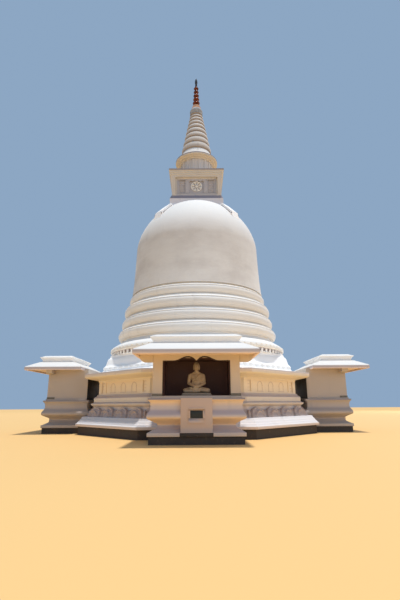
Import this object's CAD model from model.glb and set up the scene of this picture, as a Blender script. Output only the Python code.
import math

import bmesh
import bpy
from mathutils import Matrix, Vector, noise


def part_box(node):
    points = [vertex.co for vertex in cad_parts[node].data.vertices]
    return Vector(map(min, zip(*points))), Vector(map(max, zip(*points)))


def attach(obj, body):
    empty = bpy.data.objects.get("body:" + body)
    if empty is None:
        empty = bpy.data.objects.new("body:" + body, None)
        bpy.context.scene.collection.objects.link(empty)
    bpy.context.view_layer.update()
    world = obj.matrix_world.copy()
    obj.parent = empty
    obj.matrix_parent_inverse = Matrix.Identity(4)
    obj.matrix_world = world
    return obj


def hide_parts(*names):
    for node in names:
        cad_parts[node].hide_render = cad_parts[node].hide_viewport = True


# A whitewashed stupa on an octagonal terrace, with four image houses round it.
# Metres, +Z up, the axis at X 0 and Y 0, the front facing -Y.
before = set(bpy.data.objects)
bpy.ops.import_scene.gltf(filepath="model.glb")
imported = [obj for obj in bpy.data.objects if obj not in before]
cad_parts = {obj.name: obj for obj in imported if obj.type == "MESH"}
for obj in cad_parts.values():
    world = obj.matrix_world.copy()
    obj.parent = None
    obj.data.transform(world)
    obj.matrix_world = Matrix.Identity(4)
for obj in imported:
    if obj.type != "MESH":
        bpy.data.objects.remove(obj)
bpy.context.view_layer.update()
print("frame loaded")

sharpAngle = math.radians(34)  # edges sharper than this stay crisp
overlap = 0.01  # how far a piece of trim sinks into what it stands on
houseSides = [("front", 0), ("right", 90), ("back", 180), ("left", 270)]


# Shader maths

class Wire:
    # wraps one output socket, so that an expression on it adds its Math nodes
    def __init__(self, look, node, socket=0):
        self.look, self.node, self.socket = look, node, node.outputs[socket]

    def out(self, socket):
        return Wire(self.look, self.node, socket)

    def join(self, operation, left, right):
        return self.look.add("ShaderNodeMath", {"operation": operation}, {0: left, 1: right})

    def __add__(self, other):
        return self.join("ADD", self, other)

    def __sub__(self, other):
        return self.join("SUBTRACT", self, other)

    def __rsub__(self, other):
        return self.join("SUBTRACT", other, self)

    def __mul__(self, other):
        return self.join("MULTIPLY", self, other)

    def __abs__(self):
        return self.join("ABSOLUTE", self, 0)

    __radd__ = __add__
    __rmul__ = __mul__


class Look:
    # one material and the nodes that it is built from
    def __init__(self, name):
        self.material = bpy.data.materials.new(name)
        self.material.use_nodes = True
        self.tree = self.material.node_tree
        self.shader = self.tree.nodes["Principled BSDF"]
        coordinates = self.add("ShaderNodeTexCoord", {}, {})
        self.place = coordinates.out("Object")
        self.height = self.add("ShaderNodeSeparateXYZ", {}, {0: self.place}).out("Z")
        self.upward = self.add("ShaderNodeSeparateXYZ", {}, {0: coordinates.out("Normal")}).out("Z")

    def add(self, kind, settings, inputs):
        node = self.tree.nodes.new(kind)
        for name, value in settings.items():
            setattr(node, name, value)
        self.connect(node, inputs)
        return Wire(self, node)

    def connect(self, node, inputs):
        for socket, value in inputs.items():
            if isinstance(value, Wire):
                self.tree.links.new(value.socket, node.inputs[socket])
            else:
                node.inputs[socket].default_value = value

    def stretched(self, scale):
        return self.add("ShaderNodeMapping", {}, {"Vector": self.place, "Scale": scale})

    def noise(self, scale, detail=4, rough=0.55, place=None):
        return self.add("ShaderNodeTexNoise", {}, {
            "Vector": place or self.place, "Scale": scale, "Detail": detail, "Roughness": rough})

    def step(self, value, low, high):
        # 0 below low, 1 above high, smooth between them
        return self.add("ShaderNodeMapRange", {"interpolation_type": "SMOOTHSTEP"}, {
            "Value": value, "From Min": low, "From Max": high})

    def mix(self, factor, under, over):
        colours = [shade if isinstance(shade, Wire) else (*shade, 1) for shade in (under, over)]
        return self.add("ShaderNodeMix", {"data_type": "RGBA"}, {
            0: factor, 6: colours[0], 7: colours[1]}).out(2)

    def finish(self, colour, roughness, bump, distance, metallic=0.0):
        relief = self.add("ShaderNodeBump", {}, {"Height": bump, "Distance": distance})
        self.connect(self.shader, {
            "Base Color": colour, "Roughness": roughness, "Normal": relief, "Metallic": metallic})
        return self.material


# Limewash

limeSettings = {
    "white": (0.76, 0.75, 0.73),  # fresh limewash on what faces up
    "grey": (0.50, 0.46, 0.435),  # weathered limewash
    "dust": (0.60, 0.45, 0.31),  # dust low on the walls
    "streak": (0.36, 0.33, 0.31),  # run-off below edges
    "topShare": 0.9, "grainShare": 0.07, "dustShare": 0.38,  # how strong each of them gets
    "roughness": 0.72, "bump": 0.006,
}

# Each wash has its colour, or one below and one above its heights, how grey it has gone (weather,
# up to weatherTop), how high dust reaches, its streaks, and where it has them the colours of its
# undersides, of what faces up and of what lies inside a square frame.
washes = {
    "dome": {"low": (0.77, 0.75, 0.72), "high": (0.70, 0.68, 0.66), "heights": (6, 9),
             "weather": 0.62, "weatherTop": 9.5, "streaks": 0.12},
    "ring": {"low": (0.90, 0.86, 0.80), "high": (0.82, 0.80, 0.765), "heights": (3.2, 4.8),
             "weather": 0.15, "streaks": 0.25},
    "terrace": {"low": (0.66, 0.56, 0.50), "high": (0.80, 0.70, 0.58), "heights": (0.9, 1.2),
                "weather": 0.2, "dustTop": 1.0, "streaks": 0.3, "top": (0.46, 0.39, 0.385)},
    "base": {"low": (0.74, 0.63, 0.56), "high": (0.68, 0.66, 0.66), "heights": (0.385, 0.41),
             "weather": 0.1, "dustTop": 0.5, "streaks": 0.2, "top": (0.66, 0.64, 0.65)},
    "pedestal": {"low": (0.66, 0.55, 0.50), "high": (0.66, 0.56, 0.50), "heights": (1.5, 1.6),
                 "weather": 0.25, "dustTop": 1.0, "streaks": 0.3,
                 "under": (0.92, 0.66, 0.42), "top": (0.44, 0.38, 0.40)},
    "block": {"low": (0.50, 0.42, 0.43), "high": (0.65, 0.46, 0.345), "heights": (0.37, 0.50),
              "weather": 0.25, "dustTop": 1.0, "streaks": 0.3, "top": (0.60, 0.47, 0.40)},
    "terraceWall": {"low": (0.86, 0.73, 0.56), "high": (0.92, 0.77, 0.55), "heights": (1.2, 2.0),
                    "weather": 0.1, "streaks": 0.15},
    "wallFrame": {"low": (0.74, 0.61, 0.47), "high": (0.74, 0.60, 0.45), "heights": (1.2, 2.0),
                  "weather": 0.1, "streaks": 0.15},
    "shade": {"low": (0.46, 0.39, 0.345), "high": (0.50, 0.43, 0.36), "heights": (0.9, 2.0),
              "weather": 0.5, "dustTop": 1.2, "streaks": 0.5, "top": (0.34, 0.30, 0.29)},
    "ledge": {"low": (0.30, 0.27, 0.29), "weather": 0.3, "streaks": 0.3, "top": (0.30, 0.27, 0.29)},
    "cornice": {"low": (0.80, 0.665, 0.53), "high": (0.60, 0.52, 0.49), "heights": (2.20, 2.24),
                "weather": 0.1, "streaks": 0.2, "under": (0.95, 0.82, 0.60)},
    "wall": {"low": (0.54, 0.45, 0.37), "high": (0.66, 0.54, 0.40), "heights": (1.2, 2.0),
             "weather": 0.3, "dustTop": 0.9, "streaks": 0.3},
    "roof": {"low": (0.48, 0.42, 0.42), "high": (0.97, 0.96, 0.94), "heights": (2.58, 2.62),
             "streaks": 0.1, "under": (0.99, 0.80, 0.71), "top": (0.66, 0.645, 0.62)},
    "moulding": {"low": (0.97, 0.96, 0.95), "streaks": 0.15, "top": (0.95, 0.94, 0.93)},
    "slope": {"low": (0.88, 0.87, 0.84), "weather": 0.12, "streaks": 0.25, "top": (0.93, 0.92, 0.90)},
    "course": {"low": (0.30, 0.24, 0.26), "high": (0.90, 0.85, 0.77), "heights": (3.15, 3.17),
               "weather": 0.1, "streaks": 0.2},
    "teeth": {"low": (0.95, 0.94, 0.92), "high": (0.92, 0.86, 0.76), "heights": (3.18, 3.2),
              "streaks": 0.1},
    "frieze": {"low": (0.45, 0.35, 0.31), "high": (0.56, 0.45, 0.38), "heights": (0.75, 0.95),
               "weather": 0.4, "dustTop": 0.8, "streaks": 0.4, "top": (0.42, 0.33, 0.31)},
    "drum": {"low": (0.62, 0.60, 0.59), "high": (0.68, 0.61, 0.51), "heights": (12.65, 12.67),
             "weather": 0.25, "streaks": 0.4},
    "spire": {"low": (0.59, 0.555, 0.52), "weather": 0.6, "streaks": 0.8, "under": (0.30, 0.24, 0.20)},
    "box": {"low": (0.62, 0.56, 0.49), "weather": 0.3, "streaks": 0.5, "inner": (0.46, 0.44, 0.46)},
    "boxFace": {"low": (0.45, 0.43, 0.45), "high": (0.46, 0.44, 0.46), "heights": (10, 11),
                "weather": 0.6, "streaks": 0.6},
    "boxFrame": {"low": (0.62, 0.56, 0.49), "high": (0.62, 0.57, 0.50), "heights": (10, 11),
                 "weather": 0.3, "streaks": 0.5},
    "slab": {"low": (0.74, 0.72, 0.77), "high": (0.22, 0.21, 0.28), "heights": (10.26, 10.28),
             "weather": 0.4, "streaks": 0.5, "top": (0.20, 0.19, 0.24)},
}


def limeLook(name, low, streaks, high=None, heights=None, weather=0.0, weatherTop=30.0, dustTop=0.0,
             inner=None, under=None, top=None):
    look = Look(name)
    broad = look.noise(0.55, 5, 0.6)
    bands = look.noise(0.7, 6, 0.66, look.stretched((0.6, 0.6, 1.7)))
    worn = look.step(broad * 0.45 + bands * 0.55, 0.40, 0.68)
    worn = worn * look.step(look.height, weatherTop, weatherTop - 1.6) * weather
    runs = look.noise(3.2, 3, 0.5, look.stretched((1.0, 1.0, 0.07)))
    patch = look.noise(0.9, 2)
    runs = look.step(runs, 0.56, 0.74) * look.step(patch, 0.42, 0.62) * streaks
    grain = look.noise(26, 3, 0.6)
    facing = look.step(look.upward, 0.12, 0.6)
    raised = look.step(look.height, *heights) if heights else 0
    colour = look.mix(raised, low, high or low)
    if inner:
        apart = look.add("ShaderNodeSeparateXYZ", {}, {0: look.place})
        reach = look.add("ShaderNodeMath", {"operation": "MAXIMUM"}, {
            0: abs(apart), 1: abs(apart.out("Y"))})
        colour = look.mix(look.step(reach, 1.10, 1.08), colour, inner)
    if under:
        colour = look.mix(look.step(look.upward, 0.12, -0.42) * (1 - raised), colour, under)
    colour = look.mix(worn, colour, limeSettings["grey"])
    colour = look.mix(facing * limeSettings["topShare"], colour, top or limeSettings["white"])
    colour = look.mix(runs, colour, limeSettings["streak"])
    colour = look.mix(look.step(grain, 0.45, 0.75) * limeSettings["grainShare"], colour,
                      limeSettings["grey"])
    if dustTop:
        rise = look.step(look.height + broad * 0.5, dustTop + 0.25, 0.1)
        colour = look.mix(rise * limeSettings["dustShare"], colour, limeSettings["dust"])
    trowel = look.noise(1.6, 4, 0.5, look.stretched((1.0, 1.0, 3.0)))
    relief = trowel * 0.6 + grain * 0.2 + look.noise(7, 4) * 0.3
    return look.finish(colour, grain * 0.12 + limeSettings["roughness"], relief, limeSettings["bump"])


# Paint, stone and metal

paints = {
    "niche": {"paint": (0.12, 0.055, 0.047), "worn": (0.18, 0.10, 0.085)},
    "edge": {"paint": (0.03, 0.012, 0.009), "worn": (0.07, 0.035, 0.028)},
    "tablet": {"paint": (0.012, 0.016, 0.014), "worn": (0.05, 0.055, 0.05), "gloss": 0.4},
    "plinth": {"paint": (0.03, 0.021, 0.016), "worn": (0.15, 0.10, 0.07)},
    "back": {"paint": (0.010, 0.010, 0.010), "worn": (0.035, 0.03, 0.028)},
    "moss": {"paint": (0.16, 0.145, 0.115), "worn": (0.27, 0.235, 0.185), "gloss": 0.7},
}
stoneColours = {
    "light": (0.50, 0.37, 0.23), "dark": (0.37, 0.27, 0.165), "speck": (0.25, 0.18, 0.12),
    "vein": (0.55, 0.44, 0.30), "seat": (0.24, 0.22, 0.19), "seatTop": (1.60, 1.40),
}
metalColours = {
    "copper": (0.17, 0.045, 0.028), "tarnish": (0.06, 0.018, 0.013),
    "gilding": (1.0, 0.50, 0.26), "gildingTop": (16.38, 16.32),
    "grey": (0.42, 0.43, 0.44), "greyCloud": (0.30, 0.30, 0.31), "greyRuns": (0.18, 0.17, 0.165),
    "crystal": (0.018, 0.016, 0.017), "crystalCloud": (0.05, 0.045, 0.045),
}


def paintLook(name, paint, worn, gloss=0.55):
    # a coat of dark paint with scuffs and dust on it
    look = Look(name)
    scuff = look.step(look.noise(9, 5, 0.65), 0.56, 0.7)
    dust = look.step(look.noise(1.7, 4), 0.4, 0.75)
    colour = look.mix(scuff * 0.35 + dust * 0.3, paint, worn)
    return look.finish(colour, dust * 0.25 + gloss, look.noise(30, 3), 0.003)


def stoneLook(name):
    # sandy stone with specks and pale veins, greyer on the seat
    look = Look(name)
    cloud = look.noise(3.5, 5, 0.6)
    grain = look.noise(60, 4, 0.7)
    vein = look.step(abs(look.noise(5, 3) - 0.5), 0.0, 0.05)
    colour = look.mix(look.step(cloud, 0.35, 0.7), stoneColours["light"], stoneColours["dark"])
    colour = look.mix(look.step(grain, 0.5, 0.7) * 0.3, colour, stoneColours["speck"])
    colour = look.mix((1 - vein) * 0.2, colour, stoneColours["vein"])
    seat = look.step(look.height, *stoneColours["seatTop"]) * 0.75
    colour = look.mix(seat, colour, stoneColours["seat"])
    return look.finish(colour, grain * 0.2 + 0.55, grain + cloud * 0.5, 0.003)


def copperLook(name):
    # dark red copper, with the gilding left bright on its foot
    look = Look(name)
    tarnish = look.step(look.noise(7, 5, 0.65), 0.40, 0.66)
    colour = look.mix(tarnish, metalColours["copper"], metalColours["tarnish"])
    gilded = look.step(look.height, *metalColours["gildingTop"])
    colour = look.mix(gilded, colour, metalColours["gilding"])
    return look.finish(colour, tarnish * 0.2 + 0.28, look.noise(22, 3), 0.002, metallic=0.8)


def greyMetalLook(name):
    look = Look(name)
    cloud = look.step(look.noise(4, 5), 0.35, 0.7)
    runs = look.step(look.noise(5, 3, 0.5, look.stretched((1, 1, 0.1))), 0.5, 0.7)
    colour = look.mix(cloud, metalColours["grey"], metalColours["greyCloud"])
    colour = look.mix(runs * 0.5, colour, metalColours["greyRuns"])
    return look.finish(colour, cloud * 0.2 + 0.75, cloud, 0.002, metallic=0.1)


def crystalLook(name):
    look = Look(name)
    cloud = look.noise(14, 3)
    colour = look.mix(cloud, metalColours["crystal"], metalColours["crystalCloud"])
    return look.finish(colour, cloud * 0.1 + 0.1, cloud, 0.0006)


looks = {wash: limeLook(wash + "Plaster", **settings) for wash, settings in washes.items()}
looks |= {paint: paintLook(paint + "Paint", **settings) for paint, settings in paints.items()}
looks["stone"] = stoneLook("carvedStone")
looks["copper"] = copperLook("giltCopper")
looks["grey"] = greyMetalLook("greyMetal")
looks["crystal"] = crystalLook("darkCrystal")
print("finishes made")


# Mesh helpers

def smoothRun(points, cuts=5):
    # a smooth run through the points, for the curved parts of a moulding
    run = []
    for i in range(len(points) - 1):
        before, here = Vector(points[max(i - 1, 0)]), Vector(points[i])
        there, after = Vector(points[i + 1]), Vector(points[min(i + 2, len(points) - 1)])
        for cut in range(cuts):
            t = cut / cuts
            bend = (2 * before - 5 * here + 4 * there - after) * t ** 2
            swing = (3 * here - before - 3 * there + after) * t ** 3
            run.append(list(0.5 * (2 * here + (there - before) * t + bend + swing)))
    return run + [list(points[-1])]


def cyma(low, high, steps=10, bend=0.8):
    # an S-shaped moulding between two profile points, swelling first and then hollowing
    run = []
    for i in range(steps + 1):
        share = i / steps
        ease = share - math.sin(2 * math.pi * share) / (2 * math.pi) * bend
        run.append([low[0] + (high[0] - low[0]) * ease, low[1] + (high[1] - low[1]) * share])
    return run


def bezier(a, b, c, d, steps):
    # points on a cubic curve in X and Z, without its first one
    run = []
    for i in range(1, steps + 1):
        t = i / steps
        weights = ((1 - t) ** 3, 3 * t * (1 - t) ** 2, 3 * t * t * (1 - t), t ** 3)
        run.append([sum(w * p[axis] for w, p in zip(weights, (a, b, c, d))) for axis in (0, 1)])
    return run


def turn(bm, degrees, axis="Z", verts=None):
    bmesh.ops.rotate(bm, verts=verts or bm.verts, cent=(0, 0, 0),
                     matrix=Matrix.Rotation(math.radians(degrees), 3, axis))


def lathe(profile, steps, flatSided=False):
    # a closed solid of revolution from [distance, height] points; flat-sided ones are
    # measured to the middle of a side
    reach = 1 / math.cos(math.pi / steps) if flatSided else 1
    start = Matrix.Rotation(math.pi / steps if flatSided else 0, 3, "Z")
    closed = [[0, profile[0][1]], *profile, [0, profile[-1][1]]]
    bm = bmesh.new()
    verts = [bm.verts.new(start @ Vector((distance * reach, 0, height))) for distance, height in closed]
    edges = [bm.edges.new(pair) for pair in zip(verts, verts[1:])]
    bmesh.ops.spin(bm, geom=verts + edges, cent=(0, 0, 0), axis=(0, 0, 1), angle=2 * math.pi, steps=steps,
                   use_merge=True)
    bmesh.ops.remove_doubles(bm, verts=bm.verts, dist=1e-5)
    bmesh.ops.recalc_face_normals(bm, faces=bm.faces)
    return bm


def oblong(profile, longer, middle):
    # a four-sided one standing in front of the axis, its sides further out by longer
    bm = lathe([[distance - longer, height] for distance, height in profile], 4, True)
    for sign in (-1, 1):
        side = [vert for vert in bm.verts if vert.co.x * sign > 1e-4]
        bmesh.ops.translate(bm, verts=side, vec=(sign * longer, 0, 0))
    bmesh.ops.translate(bm, verts=bm.verts, vec=(0, -middle, 0))
    return bm


def bar(bm, low, high):
    # a box between two corners, added to the bmesh; its X may be given either way round
    low, high = (min(low[0], high[0]), *low[1:]), (max(low[0], high[0]), *high[1:])
    middle = [(a + b) / 2 for a, b in zip(low, high)]
    size = [b - a for a, b in zip(low, high)]
    bmesh.ops.create_cube(bm, size=1, matrix=Matrix.Translation(middle) @ Matrix.Diagonal((*size, 1)))


def barPair(bm, low, high):
    # the same box on either side of the middle
    for sign in (-1, 1):
        bar(bm, (sign * low[0], *low[1:]), (sign * high[0], *high[1:]))


def plate(bm, outline, front, back):
    # a flat shape drawn in X and Z, with its front at -front and its back at -back
    verts = [bm.verts.new((x, -front, z)) for x, z in outline]
    grown = bmesh.ops.extrude_face_region(bm, geom=[bm.faces.new(verts)])["geom"]
    bmesh.ops.translate(bm, verts=[part for part in grown if isinstance(part, bmesh.types.BMVert)],
                        vec=(0, front - back, 0))
    bmesh.ops.recalc_face_normals(bm, faces=bm.faces)


def ball(bm, place, radii, degrees=0, axis="X", segments=(20, 12)):
    lean = Matrix.Rotation(math.radians(degrees), 4, axis)
    bmesh.ops.create_uvsphere(bm, u_segments=segments[0], v_segments=segments[1], radius=1,
                              matrix=Matrix.Translation(place) @ lean @ Matrix.Diagonal((*radii, 1)))


def eachSide(bm, count):
    # copies what was made for the front all the way round the axis
    whole = bmesh.new()
    mesh = bpy.data.meshes.new("side")
    bm.to_mesh(mesh)
    bm.free()
    for _ in range(count):
        whole.from_mesh(mesh)
        turn(whole, 360 / count)
    bpy.data.meshes.remove(mesh)
    return whole


def isSharp(edge):
    return len(edge.link_faces) == 2 and edge.calc_face_angle(0) > sharpAngle


def bevelSharp(bm, width, segments=2):
    bmesh.ops.bevel(bm, geom=[edge for edge in bm.edges if isSharp(edge)], offset=width,
                    offset_type="OFFSET", segments=segments, profile=0.5, affect="EDGES",
                    clamp_overlap=True, material=-1)


def finishPiece(name, bm, look, replaced=(), bevel=0.0, degrees=0):
    # smooths, places and names a piece, and lets it ride
    if bevel:
        bevelSharp(bm, bevel)
    if degrees:
        turn(bm, degrees)
    for face in bm.faces:
        face.smooth = True
    for edge in bm.edges:
        edge.smooth = len(edge.link_faces) != 2 or edge.calc_face_angle(0) < sharpAngle
    mesh = bpy.data.meshes.new(name)
    bm.to_mesh(mesh)
    bm.free()
    mesh.materials.append(looks[look])
    piece = bpy.data.objects.new(name, mesh)
    bpy.context.scene.collection.objects.link(piece)
    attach(piece, "root")
    if replaced:
        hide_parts(*replaced)


def paintNode(node, look):
    # a CAD piece whose shape is right gets its finish
    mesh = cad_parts[node].data
    mesh.materials.clear()
    mesh.materials.append(looks[look])


# Terrace courses

terrace = {
    "sides": 8,
    "slab": [[4.65, 0.31], [4.65, 0.40], [4.60, 0.42], [4.565, 0.475], [4.53, 0.49], [4.495, 0.555],
             [4.465, 0.575], [4.43, 0.65]],
    "mouldingFoot": [4.20, 0.6503], "mouldingLow": [4.20, 0.70], "mouldingHigh": [4.05, 0.985],
    "neck": [4.06, 1.02],
    "band": [[4.06, 1.0203], [4.155, 1.10], [4.155, 1.135], [4.075, 1.165], [4.045, 1.18], [4.055, 1.20],
             [4.06, 1.33], [4.01, 1.385], [3.96, 1.40], [3.94, 1.46]],
    "corniceFoot": [3.91, 1.95], "coveLow": [3.91, 1.99], "coveHigh": [4.40, 2.11],
    "fascia": [[4.43, 2.125], [4.43, 2.27]],
    "roof": [[4.39, 2.2703], [3.83, 2.33]],
    "roofMoulding": [[3.83, 2.3303], [3.79, 2.385], [3.767, 2.425], [3.777, 2.46], [3.783, 2.49],
                     [3.755, 2.545], [3.705, 2.59], [3.686, 2.63], [3.66, 2.72], [3.63, 2.83],
                     [3.604, 2.872], [3.552, 2.915], [3.54, 2.955], [3.525, 2.985], [3.53, 3.02]],
    "bevel": 0.008,
}


def octagonCourse(name, profile, look="terrace"):
    bm = lathe(profile, terrace["sides"], True)
    finishPiece(name + "_course", bm, look, replaced=[name], bevel=terrace["bevel"])


def makeTerrace():
    moulding = cyma(terrace["mouldingLow"], terrace["mouldingHigh"])
    cove = cyma(terrace["coveLow"], terrace["coveHigh"])
    octagonCourse("terrace_slab", terrace["slab"], "base")
    octagonCourse("petal_moulding", [terrace["mouldingFoot"], *moulding, terrace["neck"]])
    octagonCourse("terrace_band", terrace["band"])
    octagonCourse("terrace_cornice", [terrace["corniceFoot"], *cove, *terrace["fascia"]], "cornice")
    octagonCourse("terrace_roof", terrace["roof"], "slope")
    octagonCourse("roof_moulding", terrace["roofMoulding"], "moulding")
    paintNode("terrace_plinth", "plinth")
    paintNode("terrace_wall", "terraceWall")


petal = {
    "count": 4, "spacing": 0.855, "distance": 4.20, "foot": 0.66, "lean": 21,
    "halfWidth": 0.40, "height": 0.345, "depth": 0.115,
    "border": 0.92, "borderWidth": 0.06, "borderRise": 0.35,  # shares of the petal
    "heart": 0.5, "heartWidth": 0.07, "heartRise": 0.45,
    "rays": 9, "rayEnd": 0.82, "rayRise": 0.10, "rayFade": 1.6,
    "tip": (0.045, 0.09, 0.17), "tipBack": 0.07, "tipRise": 0.08,
}


def petalRelief(x, z):
    # how far a petal's raised border, rays and heart stand out at a place on it
    reach = math.hypot(x, z)
    border = math.exp(-((reach - petal["border"]) / petal["borderWidth"]) ** 2) * petal["borderRise"]
    heart = math.exp(-((reach - petal["heart"]) / petal["heartWidth"]) ** 2) * petal["heartRise"]
    rays = 0
    if reach < petal["rayEnd"]:
        rays = math.cos(math.atan2(x, z) * petal["rays"]) * petal["rayRise"]
        rays *= min(reach * petal["rayFade"], 1)
    return border + heart + rays


def makePetals():
    # lotus petals on the moulding, and the tips of the back row between them
    bm = bmesh.new()
    for i in range(petal["count"]):
        made = bmesh.ops.create_uvsphere(bm, u_segments=64, v_segments=48, radius=1)["verts"]
        for vert in made:
            x, y, z = vert.co
            if y < 0:
                y -= petalRelief(x, z)
            vert.co = (x * petal["halfWidth"], y * petal["depth"], z * petal["height"])
        turn(bm, -petal["lean"], "X", made)
        across = (i - (petal["count"] - 1) / 2) * petal["spacing"]
        bmesh.ops.translate(bm, verts=made, vec=(across, -petal["distance"], petal["foot"]))
    for i in range(petal["count"] + 1):
        across = (i - petal["count"] / 2) * petal["spacing"]
        ball(bm, (across, petal["tipBack"] - petal["distance"], petal["foot"] + petal["tipRise"]),
             petal["tip"], segments=(12, 8))
    finishPiece("lotus_petals", eachSide(bm, terrace["sides"]), "frieze")


leaf = {
    "spacing": 0.33, "distance": 3.765, "height": 2.485, "halfWidth": 0.145, "rise": 0.062, "depth": 0.03,
    "narrowing": 0.35, "veins": 6, "veinDepth": 0.3,
}


def makeLeaves():
    # the row of small leaves along the foot of the terrace roof
    bm = bmesh.new()
    side = 2 * (leaf["distance"] + overlap) * math.tan(math.pi / terrace["sides"])
    count = int(side / leaf["spacing"])
    for i in range(count):
        across = (i - (count - 1) / 2) * side / count
        made = bmesh.ops.create_uvsphere(bm, u_segments=12, v_segments=8, radius=1)["verts"]
        for vert in made:
            x, y, z = vert.co
            wide = leaf["halfWidth"] * (1 - leaf["narrowing"] * max(z, 0))
            deep = leaf["depth"] * (1 + leaf["veinDepth"] * math.cos(x * leaf["veins"]))
            vert.co = (x * wide, y * deep, z * leaf["rise"])
        bmesh.ops.translate(bm, verts=made, vec=(across, -leaf["distance"], leaf["height"]))
    finishPiece("roof_leaves", eachSide(bm, terrace["sides"]), "slope")


niche = {
    "places": (-0.67, 0, 0.67), "foot": 1.545, "halfWidth": 0.15, "spring": 1.74, "bar": 0.03,
    "front": 3.863, "back": 3.85, "arcSteps": 12,
    "capital": 0.02, "capitalStand": 0.006, "capitalTop": 0.012,  # at the spring of each arch
    "sill": 0.025, "sillWider": 0.03, "sillStand": 0.008, "line": 0.03, "lineHalf": 1.152,
}
endPanel = {"middle": 1.32, "halfWidth": 0.07, "low": 1.545, "high": 1.89, "bar": 0.018, "rungs": 4}


def makeArch(bm, middle):
    # one round-headed frame, with its capitals and its sill
    front, back, foot, spring = -niche["front"], -niche["back"], niche["foot"], niche["spring"]
    radius, thick, half = niche["halfWidth"], niche["bar"], niche["capital"]
    for sign in (-1, 1):
        edge = middle + sign * radius
        bar(bm, (edge - sign * thick, front, foot), (edge, back, spring))
        bar(bm, (edge - half, front - niche["capitalStand"], spring - half),
            (edge + half, back, spring + niche["capitalTop"]))
    wide = radius + niche["sillWider"]
    bar(bm, (middle - wide, front - niche["sillStand"], foot - niche["sill"]), (middle + wide, back, foot))
    angles = [math.pi * step / niche["arcSteps"] for step in range(niche["arcSteps"] + 1)]
    outline = [[middle + radius * math.cos(a), spring + radius * math.sin(a)] for a in angles]
    radius -= thick
    outline += [[middle + radius * math.cos(a), spring + radius * math.sin(a)] for a in reversed(angles)]
    plate(bm, outline, -front, -back)


def makeNiches():
    # three arches in each long wall panel, a line under them, and a ladder of small frames at each end
    bm = bmesh.new()
    front, back = -niche["front"], -niche["back"]
    for middle in niche["places"]:
        makeArch(bm, middle)
    top = niche["foot"] - niche["sill"]
    bar(bm, (-niche["lineHalf"], front, top - niche["line"]), (niche["lineHalf"], back, top))
    low, high, half, thick = endPanel["low"], endPanel["high"], endPanel["halfWidth"], endPanel["bar"] / 2
    for sign in (-1, 1):
        middle = sign * endPanel["middle"]
        for i in range(endPanel["rungs"]):
            level = low + (high - low) * i / (endPanel["rungs"] - 1)
            bar(bm, (middle - half, front, level - thick), (middle + half, back, level + thick))
        for edge in (middle - half, middle + half):
            bar(bm, (edge - thick, front, low), (edge + thick, back, high))
    finishPiece("wall_niche_frames", eachSide(bm, terrace["sides"]), "wallFrame")


makeTerrace()
makePetals()
makeLeaves()
makeNiches()
print("terrace made")


# Bell and rings

bell = {
    "steps": 160,
    "course": [[3.50, 3.0203], [3.555, 3.05], [3.595, 3.11], [3.62, 3.155], [3.735, 3.165], [3.76, 3.185],
               [3.76, 3.24]],
    "crown": [3.30, 3.70],
    "rings": ["ring_lower", "ring_middle", "ring_upper", "ring_foot"],
    "groove": 0.05,  # between one ring and the next
    "lipDepth": 0.035, "lip": (0.42, 0.62),  # the step under each ring's top lip
    "roundness": 0.8,
    "foot": [2.95, 5.7403], "waist": [2.87, 6.6], "shoulder": [2.81, 7.894],
    "rise": 2.626, "power": 1.1, "crownAngle": 63,
    "unevenness": 0.006, "unevenScale": 0.9,
}


def ringProfile(radius, bottom, top):
    # a bulging course with a thin lip set back at its top
    lift = (top - bottom) / 2
    steps = 24
    points = []
    for i in range(steps + 1):
        angle = math.pi * (i / steps - 0.5)
        rise = math.sin(angle)
        setBack = bell["lipDepth"] if bell["lip"][0] < rise < bell["lip"][1] else 0
        pull = lift * (1 - math.cos(angle)) * bell["roundness"]
        points.append([radius - pull - setBack, bottom + lift * (1 + rise)])
    return [*points, [points[-1][0], top + bell["groove"]]]


def domeProfile():
    radius, spring = bell["shoulder"]
    points = smoothRun([bell["foot"], bell["waist"], bell["shoulder"]], 10)
    steps, power = 40, bell["power"]
    for i in range(1, steps + 1):
        angle = math.radians(bell["crownAngle"] * i / steps)
        points.append([radius * math.cos(angle) ** power, spring + bell["rise"] * math.sin(angle) ** power])
    return points


def makeBell():
    course = [*bell["course"], *cyma(bell["course"][-1], bell["crown"], 16)[1:]]
    finishPiece("relief_course_body", lathe(course, bell["steps"]), "course", replaced=["relief_course"])
    for name in bell["rings"]:
        low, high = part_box(name)
        bm = lathe(ringProfile(high.x, low.z, high.z - bell["groove"]), bell["steps"])
        finishPiece(name + "_course", bm, "ring", replaced=[name])
    bm = lathe(domeProfile(), bell["steps"])
    for vert in bm.verts:
        outward = Vector((vert.co.x, vert.co.y, 0)).normalized()
        vert.co -= outward * bell["unevenness"] * (1 + noise.noise(vert.co * bell["unevenScale"]))
    finishPiece("dome_shell", bm, "dome", replaced=["dome"])


relief = {
    "count": 84, "distance": 3.635, "height": 3.095, "halfWidth": 0.052, "drop": 0.10, "depth": 0.05,
    "widening": 0.35, "forward": 0.25,  # the heads grow wider and further out upwards
    "crest": 3.235, "crestDistance": 3.735,
    "curls": [(0.0, 0, 0.085), (0.14, -0.02, 0.045), (0.14, 0.055, 0.05)],  # across, up, half width
    "curlHalf": 0.035,
    "band": [[3.51, 3.022], [3.60, 3.022], [3.61, 3.04], [3.60, 3.06], [3.55, 3.068]],
}


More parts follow.
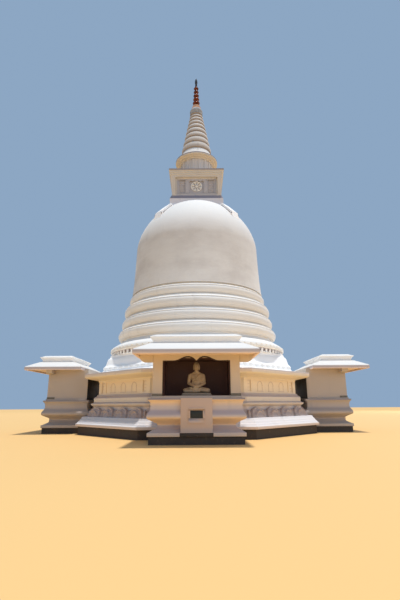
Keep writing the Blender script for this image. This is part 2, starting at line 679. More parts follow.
def makeRelief():
    # the row of drooping heads under the overhang, with curls above them and a light band below
    bm = bmesh.new()
    bmesh.ops.create_uvsphere(bm, u_segments=8, v_segments=6, radius=1)
    for vert in bm.verts:
        x, y, z = vert.co
        wide = relief["halfWidth"] * (1 + relief["widening"] * max(z, 0))
        deep = relief["depth"] * (1 + relief["forward"] * z)
        vert.co = (x * wide, y * deep, z * relief["drop"])
    bmesh.ops.translate(bm, verts=bm.verts, vec=(0, -relief["distance"], relief["height"]))
    half = relief["curlHalf"]
    for across, lift, wide in relief["curls"]:
        ball(bm, (across, -relief["crestDistance"], relief["crest"] + lift), (wide, half, half),
             segments=(8, 5))
    finishPiece("course_relief", eachSide(bm, relief["count"]), "teeth")
    finishPiece("course_band", lathe(relief["band"], bell["steps"]), "teeth")


makeBell()
makeRelief()
print("bell made")


# Spire

spire = {
    "steps": 96,
    "drum": [[0.735, 11.7803], [0.735, 12.48]],
    "drumCornice": [[0.735, 12.4803], [0.735, 12.655], [0.80, 12.665], [0.82, 12.70], [0.91, 12.715],
                    [0.93, 12.745], [1.01, 12.755], [1.04, 12.77], [1.04, 12.86], [1.00, 12.90]],
    "drumEdge": [[1.02, 12.822], [1.044, 12.822], [1.044, 12.863], [1.00, 12.902]],
    "posts": 16, "postHalf": 0.05, "postFront": 0.775, "postBack": 0.70, "postLow": 11.7803,
    "postHigh": 12.655,
    "boxEdge": [[1.26, 11.705], [1.285, 11.705], [1.285, 11.782], [1.26, 11.782]],
    "collar": [[0.325, 15.69], [0.325, 15.72], [0.318, 15.76], [0.325, 15.81], [0.325, 15.93],
               [0.26, 16.06], [0.22, 16.08]],
    "tip": [[0.035, 17.5503], [0.06, 17.62], [0.045, 17.66], [0.07, 17.76], [0.062, 17.90],
            [0.025, 18.03], [0.008, 18.06]],
    "corners": ["front_right", "back_right", "back_left", "front_left"],
}
cone = {
    "foot": [[0.90, 12.9003], [0.74, 13.24], [0.70, 13.33]],
    "bottom": 13.33, "top": 15.81, "bottomRadius": 0.775, "topRadius": 0.29,
    "rings": 9, "shrink": 0.91, "groove": 0.085,
    # each ring's outline: from the groove or from the full radius, how far out, share of its height
    "ring": [("groove", 0.01, 0.03), ("radius", -0.01, 0.12), ("radius", 0, 0.22), ("radius", 0, 0.52),
             ("radius", -0.04, 0.82), ("groove", 0, 0.88), ("groove", 0, 1)],
}
pinnacle = {
    "foot": [[0.20, 16.07], [0.235, 16.10], [0.235, 16.16], [0.19, 16.20], [0.19, 16.28],
             [0.13, 16.315], [0.09, 16.36], [0.08, 16.40]],
    "bulbs": [0.183, 0.160, 0.148, 0.134, 0.127], "pitch": 0.23, "bulbShare": 0.66, "waist": 0.45,
}


def coneProfile():
    points = [list(point) for point in cone["foot"]]
    span, low = cone["top"] - cone["bottom"], cone["bottom"]
    pitch = span * (1 - cone["shrink"]) / (1 - cone["shrink"] ** cone["rings"])
    for _ in range(cone["rings"]):
        share = (low + pitch / 2 - cone["bottom"]) / span
        radius = cone["bottomRadius"] + (cone["topRadius"] - cone["bottomRadius"]) * share
        starts = {"radius": radius, "groove": radius - cone["groove"]}
        points += [[starts[start] + out, low + rise * pitch] for start, out, rise in cone["ring"]]
        low += pitch
        pitch *= cone["shrink"]
    return points


def pinnacleProfile():
    points = [list(point) for point in pinnacle["foot"]]
    low, steps = points[-1][1], 8
    for radius in pinnacle["bulbs"]:
        waist = radius * pinnacle["waist"]
        for i in range(1, steps + 1):
            swell = math.sin(math.pi * i / steps)
            rise = pinnacle["pitch"] * pinnacle["bulbShare"] * i / steps
            points.append([waist + (radius - waist) * swell, low + rise])
        low += pinnacle["pitch"]
        points.append([waist, low])
    return points


def makePosts():
    bm = bmesh.new()
    half = spire["postHalf"]
    bar(bm, (-half, -spire["postFront"], spire["postLow"]), (half, -spire["postBack"], spire["postHigh"]))
    turn(bm, 180 / spire["posts"])
    finishPiece("drum_posts", eachSide(bm, spire["posts"]), "drum")


def makeSpire():
    steps = spire["steps"]
    finishPiece("drum_wall", lathe(spire["drum"], steps), "drum", replaced=["drum"])
    finishPiece("drum_cornice_rings", lathe(spire["drumCornice"], steps), "drum",
                replaced=["drum_cornice"])
    makePosts()
    finishPiece("drum_cornice_edge", lathe(spire["drumEdge"], steps), "ledge")
    finishPiece("box_cornice_edge", lathe(spire["boxEdge"], 4, True), "ledge")
    finishPiece("spire_cone_rings", lathe(coneProfile(), steps), "spire", replaced=["spire_cone"])
    finishPiece("spire_collar_band", lathe(smoothRun(spire["collar"], 3), 64), "grey",
                ["spire_collar"])
    finishPiece("pinnacle_bulbs", lathe(pinnacleProfile(), 48), "copper", ["pinnacle"])
    finishPiece("pinnacle_crystal", lathe(smoothRun(spire["tip"], 4), 24), "crystal",
                ["pinnacle_tip"])
    paintNode("box_body", "box")
    paintNode("box_slab", "slab")
    paintNode("box_cornice", "boxFrame")
    for corner in spire["corners"]:
        paintNode("shoulder_plate_" + corner, "moulding")


plates = {
    "distance": 2.040, "height": 9.558, "tilt": 46,  # the middle of a plate, and its slope
    "end": 0.41, "half": 0.215,
    "dropLong": 0.25, "dropHalf": 0.216, "dropTop": 0.093, "dropTip": -0.07, "dropRoot": -0.25,
    "lineStand": 0.006, "lineStart": 0.06, "lineEnd": 0.03, "lineLow": -0.05, "lineTop": 0.012,
    "knob": (0.04, 0.02, 0.035), "knobPast": 0.07, "knobHeight": 0.02,
}


def makePlateTrim():
    # the drooping end below each plate on the bell's shoulder, and the dark line along its foot
    drops, lines = bmesh.new(), bmesh.new()
    end, half, reach = plates["end"], plates["half"], plates["end"] + plates["dropLong"]
    plate(drops, [[end - overlap, plates["dropTop"]], [reach, plates["dropTip"]],
                  [reach, plates["dropRoot"]], [end - overlap, plates["dropRoot"]]],
          plates["dropHalf"], -plates["dropHalf"])
    for sign in (-1, 1):
        low, high = sorted((sign * (half - overlap), sign * (half + plates["lineStand"])))
        bar(lines, (plates["lineStart"] - end, low, plates["lineLow"]),
            (end - plates["lineEnd"], high, plates["lineTop"]))
        ball(lines, (end + plates["knobPast"], sign * half, plates["knobHeight"]), plates["knob"])
    lie = Matrix.Rotation(math.radians(plates["tilt"]), 4, "Y")
    place = Matrix.Translation((plates["distance"], 0, plates["height"])) @ lie
    for name, bm, look in (("ends", drops, "moulding"), ("lines", lines, "ledge")):
        bmesh.ops.transform(bm, matrix=Matrix.Rotation(math.pi / 4, 4, "Z") @ place, verts=bm.verts)
        finishPiece("shoulder_plate_" + name, eachSide(bm, 4), look)


makeSpire()
makePlateTrim()


# Faces of the square box

boxFace = {
    "plane": 1.05, "panelPlane": 1.01, "low": 10.52, "high": 11.40,
    "outer": {"half": 0.98, "inner": 0.925, "stand": 0.05},
    "step": {"half": 0.925, "inner": 0.885, "stand": 0.028},
    "pilasters": (0.36, 0.50), "pilasterStand": 0.024, "pilasterEnd": 0.10,
    "capStand": 0.038, "capWider": 0.02, "capHeight": 0.05,
    "lines": 7, "lineHalf": (0.57, 0.79), "lineLow": 10.66, "linePitch": 0.098, "lineHeight": 0.016,
    "lineStand": 0.022,
    "footHalf": 0.93, "footPlane": 1.145, "footLow": 10.4405,  # the plain strip below the face
    "drapeTop": 11.345, "drapeHalf": 0.44, "drapeStand": 0.034, "drapeBand": 0.05,
    "scallops": 5, "scallopDrop": 0.075, "scallopShare": 0.995,
}
wheel = {
    "height": 10.98, "stand": 0.02, "radius": 0.24, "bar": 0.022, "hub": 0.05, "hubDepth": 0.035,
    "spokes": 8, "innerShare": 0.72, "thinShare": 0.55, "thickShare": 0.9, "knobShare": 0.86, "knob": 1.5,
}


def ringShape(bm, middle, radius, thick, steps=40):
    # a round bar bent into a ring that faces the front
    start = Matrix.Translation((middle[0] + radius, middle[1], middle[2]))
    made = bmesh.ops.create_circle(bm, segments=8, radius=thick, matrix=start)["verts"]
    edges = list({edge for vert in made for edge in vert.link_edges})
    bmesh.ops.spin(bm, geom=made + edges, cent=middle, axis=(0, 1, 0), angle=2 * math.pi, steps=steps,
                   use_merge=True)


def makeFrame(frameParts, faceParts, step):
    # one step of the square frame; the outermost has the frame's own wash, but for its foot
    rise = boxFace["outer"]["half"] - step["half"]
    parts = faceParts if rise else frameParts
    front, back = -boxFace["plane"] - step["stand"], overlap - boxFace["plane"]
    outer, inner = step["half"], step["inner"]
    wide, bottom, top = outer - inner, boxFace["low"] + rise, boxFace["high"] - rise
    bar(faceParts, (-outer, front, bottom), (outer, back, bottom + wide))
    bar(parts, (-outer, front, top - wide), (outer, back, top))
    barPair(parts, (inner, front, bottom + wide), (outer, back, top - wide))


def makePanels(bm):
    # a pilaster with its caps, a column of lines outside it on either side, and the foot strip
    plane, panel = -boxFace["plane"], -boxFace["panelPlane"]
    back, low, high = plane + overlap, boxFace["low"], boxFace["high"]
    bottom, top = low + boxFace["pilasterEnd"], high - boxFace["pilasterEnd"]
    wider, thick = boxFace["capWider"], boxFace["capHeight"]
    inner, outer = boxFace["pilasters"]
    barPair(bm, (inner, plane - boxFace["pilasterStand"], bottom), (outer, back, top))
    for level in (bottom, top - thick):
        barPair(bm, (inner - wider, plane - boxFace["capStand"], level),
                (outer + wider, back, level + thick))
    inner, outer = boxFace["lineHalf"]
    for i in range(boxFace["lines"]):
        level = boxFace["lineLow"] + i * boxFace["linePitch"]
        barPair(bm, (inner, panel - boxFace["lineStand"], level),
                (outer, panel + overlap, level + boxFace["lineHeight"]))
    half = boxFace["footHalf"]
    bar(bm, (-half, -boxFace["footPlane"], boxFace["footLow"]), (half, back, low))


def makeDrape(bm):
    # a hanging cloth with a scalloped edge
    half, top, steps = boxFace["drapeHalf"], boxFace["drapeTop"], 8
    radius = half / boxFace["scallops"]
    outline = [[-half, top], [half, top]]
    for i in range(boxFace["scallops"]):
        middle = half - (2 * i + 1) * radius
        for step in range(1, steps + 1):
            angle = math.pi * step / steps
            outline.append([middle + radius * math.cos(angle) * boxFace["scallopShare"],
                            top - boxFace["drapeBand"] - boxFace["scallopDrop"] * math.sin(angle)])
    plate(bm, outline, boxFace["plane"] + boxFace["drapeStand"], boxFace["plane"] - overlap)


def makeWheel(bm):
    middle = (0, -boxFace["panelPlane"] - wheel["stand"], wheel["height"])
    place = Matrix.Translation(middle)
    radius, thick = wheel["radius"], wheel["bar"]
    thin, fat = thick * wheel["thinShare"], thick * wheel["thickShare"]
    ringShape(bm, middle, radius, thick)
    ringShape(bm, middle, radius * wheel["innerShare"], thin)
    for i in range(wheel["spokes"]):
        spoke = place @ Matrix.Rotation(math.pi * 2 * (i + 0.5) / wheel["spokes"], 4, "Y")
        bmesh.ops.create_cone(bm, cap_ends=True, segments=8, radius1=thin, radius2=fat, depth=radius,
                              matrix=spoke @ Matrix.Translation((0, 0, radius / 2)))
        knob = spoke @ Matrix.Translation((0, 0, radius * wheel["knobShare"]))
        bmesh.ops.create_uvsphere(bm, u_segments=8, v_segments=6, radius=thick * wheel["knob"], matrix=knob)
    ball(bm, middle, (wheel["hub"], wheel["hubDepth"], wheel["hub"]), segments=(16, 10))
    bmesh.ops.recalc_face_normals(bm, faces=bm.faces)


def makeBoxFaces():
    frameParts, faceParts, wheelParts = bmesh.new(), bmesh.new(), bmesh.new()
    makeFrame(frameParts, faceParts, boxFace["outer"])
    makeFrame(frameParts, faceParts, boxFace["step"])
    makePanels(faceParts)
    makeDrape(faceParts)
    makeWheel(wheelParts)
    finishPiece("box_frames", eachSide(frameParts, 4), "boxFrame", bevel=0.004)
    finishPiece("box_panels", eachSide(faceParts, 4), "boxFace")
    finishPiece("box_wheels", eachSide(wheelParts, 4), "ring")


makeBoxFaces()
print("spire made")


# Image houses

house = {
    "middle": 5.25, "longer": 0.47,
    "foot": [[1.39, 0.2203], [1.39, 0.32], [1.32, 0.345]],
    "swell": [[1.32, 0.345], [1.185, 0.42], [1.12, 0.505], [1.14, 0.56], [1.27, 0.64], [1.385, 0.70],
              [1.41, 0.77], [1.385, 0.84], [1.33, 0.93], [1.31, 1.03], [1.32, 1.13], [1.35, 1.19]],
    "crown": [[1.38, 1.21], [1.38, 1.27]],
    "ledge": [[1.36, 1.222], [1.383, 1.222], [1.383, 1.266], [1.36, 1.266]],
    "blockHalf": 0.45, "blockBottom": 0.32, "blockFront": 6.19, "blockTop": 1.2695,
    "darkHalf": 0.47, "darkBottom": 0.2203, "darkFront": 6.186, "darkBack": 5.89,  # under the block
    "wallHalf": 1.27, "wallBack": 4.45, "wallFront": 6.05, "wallBottom": 1.2703, "wallTop": 2.51,
    "pierHalf": 0.992, "pierBack": 5.75,
    "stripLow": 1.318, "stripTop": 1.395, "stripProud": 0.012,  # painted round the foot of the piers
    "plinthLow": 1.2713, "plinthProud": 0.042,
    "backPaint": {"half": 1.25, "low": 1.3003, "high": 2.10, "thickness": 0.008},
    "roofMiddle": 5.75, "roofLonger": 0.62, "roofLip": 0.07, "soffit": 2.508,
    "roof": [[1.755, 2.45], [1.755, 2.57], [1.725, 2.60], [1.24, 2.84], [1.245, 2.87], [1.275, 2.93],
             [1.33, 2.98], [1.33, 2.995], [1.16, 3.07]],
    "bevel": 0.007, "softBevel": 0.004,
}
opening = {
    "half": 0.99, "sill": 1.33, "shoulder": 2.342, "humpOuter": 0.66, "peak": 2.47, "humpMiddle": 0.24,
    "cusp": 2.335, "cuspRise": 0.06, "easing": (0.78, 0.62, 0.6, 0.25),  # how full the humps are
    "archBack": 5.80, "back": 4.75, "top": 2.44,
    "lining": 0.012, "edgeDepth": 0.032, "edgeFront": 6.03, "edgeBack": 5.98,
}
bracket = {
    "inner": 1.26, "flat": 1.52, "out": 1.68, "bottom": 2.306, "top": 2.512,
    "startRun": (0.09, 0.01), "endRun": (0.02, 0.06),  # how the curve leaves and arrives
}
tablet = {
    "half": 0.178, "low": 0.713, "high": 0.922, "stand": 0.012,
    "frameHalf": 0.225, "frameLow": 0.574, "frameHigh": 0.99, "frameStand": 0.03, "frameSink": 0.02,
}


def archLine():
    # the opening's upper edge from its right shoulder to its left one, over two humps
    shoulder, outer, peak = opening["shoulder"], opening["humpOuter"], opening["peak"]
    middle, dip = opening["humpMiddle"], opening["peak"] - opening["cuspRise"]
    a, b, c, d = opening["easing"]
    right = [[opening["half"], shoulder], [outer, shoulder]]
    right += bezier(right[-1], [outer * a, shoulder], [outer * b, peak], [middle, peak], 10)
    right += bezier(right[-1], [middle * c, peak], [middle * d, dip], [0, opening["cusp"]], 8)
    left = [[-x, z] for x, z in reversed(right[:-1])]
    return [*right, *left]


def plasterFor(side, shown):
    # the front house is the light one
    return shown if side == "front" else "shade"


def makeHouseWalls(side, degrees):
    # the walls round the niche, its floor and ceiling, and the lintel with its two humps
    bm = bmesh.new()
    half, sill, top = opening["half"], opening["sill"], house["wallTop"]
    front, back, low = -house["wallFront"], -house["wallBack"], house["wallBottom"]
    barPair(bm, (half, front, low), (house["wallHalf"], back, top))
    bar(bm, (-half, front, low), (half, back, sill))
    bar(bm, (-half, -opening["back"], sill), (half, back, top))
    bar(bm, (-half, -opening["archBack"], opening["top"]), (half, -opening["back"], top))
    plate(bm, [[half, top], *archLine(), [-half, top]], house["wallFront"], opening["archBack"])
    finishPiece(side + "_house_plaster", bm, plasterFor(side, "wall"),
                [side + "_house_walls"], degrees=degrees)


def makeNicheLining(side, degrees):
    # dark paint on the niche's back, sides, ceiling and floor, and a dark edge along the arch
    bm = bmesh.new()
    half, low, high, thick = opening["half"], opening["sill"], opening["top"], opening["lining"]
    front, back = -opening["archBack"], -opening["back"]
    bar(bm, (-half, back - thick, low), (half, back, high))
    barPair(bm, (half - thick, front, low), (half, back - thick, high))
    bar(bm, (-half, front, high - thick), (half, back - thick, high))
    bar(bm, (-half, front, low), (half, back - thick, low + thick))
    finishPiece(side + "_niche_lining", bm, "niche", degrees=degrees)

    bm = bmesh.new()
    edge = [Vector(point) for point in [[half, low], *archLine(), [-half, low]]]
    inner = []
    for i, point in enumerate(edge):
        run = (edge[min(i + 1, len(edge) - 1)] - edge[max(i - 1, 0)]).normalized()
        inner.append(point + Vector((-run.y, run.x)) * opening["edgeDepth"])
    plate(bm, [*edge, *reversed(inner)], opening["edgeFront"], opening["edgeBack"])
    finishPiece(side + "_niche_edge", bm, "edge", degrees=degrees)


def makePierFeet(side, degrees):
    # the painted strip at the foot of the piers, what it stands on, and the paint on the back wall
    half, front, low = house["pierHalf"], -house["wallFront"], house["stripLow"]
    strips, bases, paint = bmesh.new(), bmesh.new(), bmesh.new()
    proud = house["stripProud"]
    barPair(strips, (half, front - proud, low),
            (house["wallHalf"] + proud, -house["pierBack"], house["stripTop"]))
    proud = house["plinthProud"]
    barPair(bases, (half, front - proud, house["plinthLow"]),
            (house["wallHalf"] + proud, -house["wallBack"], low))
    finishPiece(side + "_pier_feet", strips, "moss", bevel=0.004, degrees=degrees)
    finishPiece(side + "_pier_base", bases, plasterFor(side, "wall"), bevel=0.006,
                degrees=degrees)
    coat = house["backPaint"]
    bar(paint, (-coat["half"], -house["wallBack"], coat["low"]),
        (coat["half"], coat["thickness"] - house["wallBack"], coat["high"]))
    finishPiece(side + "_back_paint", paint, "back", degrees=degrees)


def makePedestal(side, degrees):
    profile = [*house["foot"], *smoothRun(house["swell"])[1:], *house["crown"]]
    longer, middle = house["longer"], house["middle"]
    finishPiece(side + "_pedestal_moulding", oblong(profile, longer, middle), plasterFor(side, "pedestal"),
                replaced=[side + "_house_pedestal"], bevel=house["bevel"], degrees=degrees)
    finishPiece(side + "_pedestal_ledge", oblong(house["ledge"], longer, middle), "ledge", degrees=degrees)
    block, foot = bmesh.new(), bmesh.new()
    half = house["blockHalf"]
    bar(block, (-half, -house["blockFront"], house["blockBottom"]), (half, -middle, house["blockTop"]))
    finishPiece(side + "_pedestal_block", block, "block", bevel=house["bevel"], degrees=degrees)
    half = house["darkHalf"]
    bar(foot, (-half, -house["darkFront"], house["darkBottom"]),
        (half, -house["darkBack"], house["blockBottom"]))
    finishPiece(side + "_block_foot", foot, "plinth", bevel=house["softBevel"],
                degrees=degrees)


def makeTablet(side, degrees):
    # the framed blank tablet on the block
    bm = bmesh.new()
    block = house["blockFront"]
    outer, inner = tablet["frameHalf"], tablet["half"]
    low, high = tablet["low"], tablet["high"]
    front, back = -block - tablet["frameStand"], tablet["frameSink"] - block
    bar(bm, (-outer, front, tablet["frameLow"]), (outer, back, low))
    bar(bm, (-outer, front, high), (outer, back, tablet["frameHigh"]))
    barPair(bm, (inner, front, low), (outer, back, high))
    bmesh.ops.remove_doubles(bm, verts=bm.verts, dist=1e-5)
    finishPiece(side + "_tablet_frame", bm, "block", bevel=house["softBevel"], degrees=degrees)
    bm = bmesh.new()
    bar(bm, (-inner, -block - tablet["stand"], low), (inner, overlap - block, high))
    finishPiece(side + "_tablet", bm, "tablet", bevel=0.003, degrees=degrees)


def makeRoof(side, degrees):
    wide, under = house["roof"][0]
    inside = wide - house["roofLip"]
    profile = [[inside, house["soffit"]], [inside, under], *house["roof"]]
    finishPiece(side + "_roof_slab", oblong(profile, house["roofLonger"], house["roofMiddle"]), "roof",
                replaced=[side + "_house_roof"], bevel=house["bevel"], degrees=degrees)


def makeBrackets(side, degrees):
    # the curved brackets that carry the roof's ends
    bm = bmesh.new()
    inner, flat, out = bracket["inner"], bracket["flat"], bracket["out"]
    low, top = bracket["bottom"], bracket["top"]
    (leave, lift), (arrive, rise) = bracket["startRun"], bracket["endRun"]
    curve = bezier([flat, low], [flat + leave, low + lift], [out - arrive, low + rise], [out, top], 10)
    for sign in (-1, 1):
        outline = [[sign * x, z] for x, z in [[inner, low], [flat, low], *curve, [inner, top]]]
        plate(bm, outline, house["wallFront"], opening["archBack"])
    finishPiece(side + "_roof_brackets", bm, plasterFor(side, "wall"),
                bevel=house["softBevel"], degrees=degrees)


for side, degrees in houseSides:
    paintNode(side + "_house_plinth", "plinth")
    makeHouseWalls(side, degrees)
    makeNicheLining(side, degrees)
    makePierFeet(side, degrees)
    makePedestal(side, degrees)
    makeTablet(side, degrees)
    makeRoof(side, degrees)
    makeBrackets(side, degrees)
print("houses made")


# Seated statues

statue = {
    "voxel": 0.0075, "smoothing": 3, "headVoxel": 0.0035, "headSmoothing": 2, "smoothFactor": 0.6,
    "distance": 5.53, "sill": 1.3303,
}
seat = {
    "lower": ((-0.45, -0.255, 0), (0.45, 0.235, 0.03825)),
    "upper": ((-0.42075, -0.2397, 0.03825), (0.42075, 0.2295, 0.085)),
    "bevel": 0.014,
}

# A ball is its middle and half sizes, a limb its two ends and how thick each is, measured from
# the middle of the seat's underside. The paired ones are made on both sides.
body = {
    "balls": [
        ((0, 0.05, 0.20), (0.22, 0.16, 0.13)),  # hips
        ((0, 0.03, 0.37), (0.145, 0.105, 0.19)),  # waist
        ((0, 0.02, 0.53), (0.165, 0.115, 0.155)),  # chest
        ((-0.15, -0.165, 0.225), (0.085, 0.045, 0.028), 8, "Y"),  # the upper foot
        ((0, -0.19, 0.255), (0.10, 0.058, 0.022)),  # hands, one on the other
        ((0, -0.185, 0.28), (0.085, 0.052, 0.02)),
    ],
    "pairedBalls": [
        ((0.07, -0.015, 0.57), (0.105, 0.055, 0.075)),  # front of the chest
    ],
    "limbs": [
        ((-0.165, 0.03, 0.615), (0.165, 0.03, 0.615), 0.062, 0.062),  # shoulders
        ((-0.335, -0.09, 0.15), (0.06, -0.205, 0.145), 0.060, 0.052),  # lower shin
        ((0.335, -0.09, 0.155), (-0.07, -0.20, 0.20), 0.058, 0.046),  # upper shin
        ((0, 0.02, 0.66), (0, 0.01, 0.76), 0.058, 0.052),  # neck
    ],
    "pairedLimbs": [
        ((0.13, 0.02, 0.64), (0, 0.015, 0.71), 0.04, 0.06),  # from shoulder to neck
        ((0.10, 0.03, 0.175), (0.35, -0.06, 0.165), 0.115, 0.062),  # thighs
        ((0.205, 0.03, 0.60), (0.235, 0.03, 0.38), 0.056, 0.047),  # upper arms
        ((0.235, 0.025, 0.375), (0.075, -0.165, 0.285), 0.047, 0.033),  # forearms
        ((0.065, -0.20, 0.285), (0.008, -0.205, 0.305), 0.013, 0.010),  # thumbs
    ],
}
robe = {
    "sleeve": (0.06, 0.045, 0.06), "sleeveOut": 0.165, "sleeveHeights": (0.56, 0.48, 0.40),
    "edge": [(0.15, -0.040, 0.625), (0.02, -0.108, 0.53), (-0.12, -0.078, 0.42), (-0.150, 0.02, 0.345)],
    "edgeThickness": (0.009, 0.011, 0.011, 0.010), "edgeLifts": (0.0, 0.017, 0.034),
    "lapFolds": 7, "lapTop": (0.09, -0.12, 0.235), "lapFoot": (0.20, -0.195, 0.13), "lapCurve": 0.08,
    "lapThickness": (0.011, 0.008),
    "armFolds": 5, "armStart": (0.185, -0.012, 0.378), "armEnd": (0.265, 0.028, 0.402), "armPitch": 0.045,
    "armThickness": (0.007, 0.006),
}
skull = ((0, 0.015, 0.868), (0.098, 0.110, 0.114))
topknot = ((0, 0.02, 0.962), (0.064, 0.062, 0.044))
head = {
    "balls": [
        skull,
        topknot,
        ((0, -0.025, 0.815), (0.076, 0.078, 0.085)),  # lower face
        ((0, -0.082, 0.755), (0.024, 0.018, 0.016)),  # chin
        ((0, -0.098, 0.781), (0.019, 0.008, 0.005)),  # lower lip
    ],
    "pairedBalls": [
        ((0.012, -0.099, 0.791), (0.015, 0.008, 0.0045)),  # upper lip
        ((0.011, -0.110, 0.820), (0.009, 0.010, 0.007)),  # nostrils
        ((0.034, -0.086, 0.853), (0.020, 0.013, 0.011)),  # eyelids
        ((0.036, -0.070, 0.812), (0.026, 0.022, 0.026)),  # cheeks
        ((0.094, 0.012, 0.845), (0.011, 0.024, 0.030)),  # ears
    ],
    "limbs": [
        ((0, 0.01, 0.70), (0, 0.012, 0.80), 0.052, 0.05),  # neck
        ((0, -0.102, 0.862), (0, -0.119, 0.822), 0.008, 0.012),  # nose
    ],
    "pairedLimbs": [
        ((0.012, -0.100, 0.872), (0.035, -0.094, 0.878), 0.0045, 0.0045),  # brows
        ((0.035, -0.094, 0.878), (0.060, -0.074, 0.868), 0.0045, 0.0035),
        ((0.093, 0.006, 0.825), (0.090, 0.004, 0.775), 0.010, 0.012),  # ear lobes
    ],
}
curls = {
    "radius": 0.0085, "spacing": 2.1, "highest": 1.45, "faceDepth": -0.25,
    # which ball they sit on, the angle of the lowest row, rows, and how high the face is left free
    "patches": [(skull, 0.05, 9, 0.52), (topknot, 0.25, 4, -1)],
}


def limb(bm, start, end, thick, thin):
    # a tapering rod with round ends
    start, end = Vector(start), Vector(end)
    run = end - start
    aim = run.to_track_quat("Z", "Y").to_matrix().to_4x4()
    bmesh.ops.create_cone(bm, cap_ends=True, segments=20, radius1=thick, radius2=thin, depth=run.length,
                          matrix=Matrix.Translation((start + end) / 2) @ aim)
    ball(bm, start, (thick, thick, thick))
    ball(bm, end, (thin, thin, thin))


def addParts(bm, parts):
    for part in parts["balls"]:
        ball(bm, *part)
    for part in parts["limbs"]:
        limb(bm, *part)
    for sign in (-1, 1):
        for (x, y, z), radii in parts["pairedBalls"]:
            ball(bm, (sign * x, y, z), radii)
        for start, end, thick, thin in parts["pairedLimbs"]:
            limb(bm, (sign * start[0], *start[1:]), (sign * end[0], *end[1:]), thick, thin)


def meltTogether(bm, voxel, smoothing):
    # fuses overlapping shapes into one skin
    mesh = bpy.data.meshes.new("clay")
    bm.to_mesh(mesh)
    bm.free()
    clay = bpy.data.objects.new("clay", mesh)
    bpy.context.scene.collection.objects.link(clay)
    remesh = clay.modifiers.new("remesh", "REMESH")
    remesh.mode, remesh.voxel_size = "VOXEL", voxel
    smooth = clay.modifiers.new("smooth", "SMOOTH")
    smooth.iterations, smooth.factor = smoothing, statue["smoothFactor"]
    skin = clay.evaluated_get(bpy.context.evaluated_depsgraph_get()).to_mesh()
    fused = bmesh.new()
    fused.from_mesh(skin)
    bpy.data.objects.remove(clay)
    bpy.data.meshes.remove(mesh)
    return fused


def addRobe(bm):
    # between the left arm and the body, its edge over the shoulder, and the folds on lap and arm
    for height in robe["sleeveHeights"]:
        ball(bm, (robe["sleeveOut"], 0.0, height), robe["sleeve"])
    edge, thickness = robe["edge"], robe["edgeThickness"]
    for lift in robe["edgeLifts"]:
        raised = [(x, y, z + lift) for x, y, z in edge]
        for start, end, thick, thin in zip(raised, raised[1:], thickness, thickness[1:]):
            limb(bm, start, end, thick, thin)
    folds = robe["lapFolds"] // 2
    (topX, topY, topZ), (footX, footY, footZ) = robe["lapTop"], robe["lapFoot"]
    for i in range(-folds, folds + 1):
        spread = i / folds
        foot = (spread * footX, footY + abs(spread) * robe["lapCurve"], footZ)
        limb(bm, (spread * topX, topY, topZ), foot, *robe["lapThickness"])
    for i in range(robe["armFolds"]):
        lift = Vector((0, 0, robe["armPitch"] * i))
        limb(bm, Vector(robe["armStart"]) + lift, Vector(robe["armEnd"]) + lift, *robe["armThickness"])


def makeBody():
    bm = bmesh.new()
    addParts(bm, body)
    addRobe(bm)
    return meltTogether(bm, statue["voxel"], statue["smoothing"])


def makeHead():
    bm = bmesh.new()
    addParts(bm, head)
    return meltTogether(bm, statue["headVoxel"], statue["headSmoothing"])


def makeCurls():
    # rows of small snail curls over the scalp and the topknot
    bm = bmesh.new()
    size = curls["radius"]
    for (centre, radii), lowest, rows, faceTop in curls["patches"]:
        for row in range(rows):
            rise = lowest + (curls["highest"] - lowest) * row / (rows - 1)
            count = max(int(2 * math.pi * radii[0] * math.cos(rise) / (size * curls["spacing"])), 1)
            for i in range(count):
                around = 2 * math.pi * (i + 0.5 * (row % 2)) / count
                flat = math.cos(rise)
                out = Vector((flat * math.cos(around), flat * math.sin(around), math.sin(rise)))
                if out.y < curls["faceDepth"] and out.z < faceTop:
                    continue
                place = Vector(centre) + out * Vector(radii)
                bmesh.ops.create_uvsphere(bm, u_segments=7, v_segments=5, radius=size,
                                          matrix=Matrix.Translation(place))
    return bm


def makeSeat():
    bm = bmesh.new()
    bar(bm, *seat["lower"])
    bar(bm, *seat["upper"])
    bevelSharp(bm, seat["bevel"], 3)
    return bm


def makeStatues():
    figure = bmesh.new()
    for part in (makeBody(), makeHead(), makeCurls(), makeSeat()):
        mesh = bpy.data.meshes.new("part")
        part.to_mesh(mesh)
        part.free()
        figure.from_mesh(mesh)
        bpy.data.meshes.remove(mesh)
    bmesh.ops.translate(figure, verts=figure.verts, vec=(0, -statue["distance"], statue["sill"]))
    print("statue has", len(figure.faces), "faces")
    for side, degrees in houseSides:
        finishPiece(side + "_seated_figure", figure.copy(), "stone", [side + "_statue"],
                    degrees=degrees)
    figure.free()


makeStatues()
print("statues made")


# Floor, light and camera

studio = {
    "floorHalf": 90, "floorColour": (0.72, 0.455, 0.18), "floorRoughness": 0.9,
    "skyColour": (0.28, 0.405, 0.575), "skyStrength": 0.95,
    "sunPlace": (0, 0, 40), "sunAim": (-0.10, 0.0, -0.995), "sunStrength": 3.3, "sunAngle": 3.5,
    "sunColour": (1.0, 0.975, 0.93),
    "fillOut": 34, "fillHeight": 16, "fillAimHeight": 6, "fillSize": 26, "fillPower": 3250,
    "leftShare": 0.18, "fillColour": (0.95, 0.94, 1.0),  # the fills on the left are weaker
    "eye": (0.08, -17.86, 1.10), "pitch": 14.57, "yaw": 0.18, "roll": 0.35,
    "lens": 24, "sensor": 36, "farthest": 400,
}


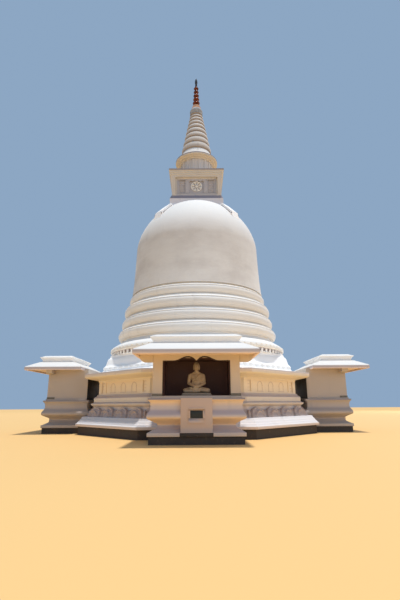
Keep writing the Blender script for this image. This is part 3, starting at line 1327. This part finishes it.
def makeFloor():
    bm = bmesh.new()
    bmesh.ops.create_grid(bm, x_segments=1, y_segments=1, size=studio["floorHalf"])
    mesh = bpy.data.meshes.new("floor")
    bm.to_mesh(mesh)
    bm.free()
    floor = bpy.data.objects.new("floor", mesh)
    bpy.context.scene.collection.objects.link(floor)
    surface = bpy.data.materials.new("floorPaint")
    surface.use_nodes = True
    shader = surface.node_tree.nodes["Principled BSDF"]
    shader.inputs["Base Color"].default_value = (*studio["floorColour"], 1)
    shader.inputs["Roughness"].default_value = studio["floorRoughness"]
    mesh.materials.append(surface)


def makeSky():
    sky = bpy.data.worlds.new("sky")
    sky.use_nodes = True
    background = sky.node_tree.nodes["Background"]
    background.inputs["Color"].default_value = (*studio["skyColour"], 1)
    background.inputs["Strength"].default_value = studio["skyStrength"]
    bpy.context.scene.world = sky


def addLamp(name, kind, place, aim, settings):
    light = bpy.data.lights.new(name, kind)
    for setting, value in settings.items():
        setattr(light, setting, value)
    lamp = bpy.data.objects.new(name, light)
    turned = Vector(aim).to_track_quat("-Z", "Y").to_matrix().to_4x4()
    lamp.matrix_world = Matrix.Translation(place) @ turned
    bpy.context.scene.collection.objects.link(lamp)


def makeLamps():
    # a soft key from overhead, a little to the right, and four broad fills round the object
    addLamp("key", "SUN", studio["sunPlace"], studio["sunAim"], {
        "energy": studio["sunStrength"], "angle": math.radians(studio["sunAngle"]),
        "color": studio["sunColour"]})
    out, height = studio["fillOut"], studio["fillHeight"]
    for x, y in ((-out, -out), (out, -out), (out, out), (-out, out)):
        share = 1 if x > 0 else studio["leftShare"]
        addLamp("fill", "AREA", (x, y, height), (-x, -y, studio["fillAimHeight"] - height), {
            "energy": studio["fillPower"] * share, "size": studio["fillSize"],
            "color": studio["fillColour"]})


def makeCamera():
    camera = bpy.data.cameras.new("camera")
    camera.lens, camera.sensor_width, camera.sensor_fit = studio["lens"], studio["sensor"], "AUTO"
    camera.clip_end = studio["farthest"]
    eye = bpy.data.objects.new("camera", camera)
    turned = Matrix.Translation(studio["eye"])
    for angle, axis in ((-studio["yaw"], "Z"), (90 + studio["pitch"], "X"), (-studio["roll"], "Z")):
        turned = turned @ Matrix.Rotation(math.radians(angle), 4, axis)
    eye.matrix_world = turned
    bpy.context.scene.collection.objects.link(eye)
    bpy.context.scene.camera = eye
    bpy.context.scene.view_settings.view_transform = "Standard"


makeFloor()
makeSky()
makeLamps()
makeCamera()
print("studio made")
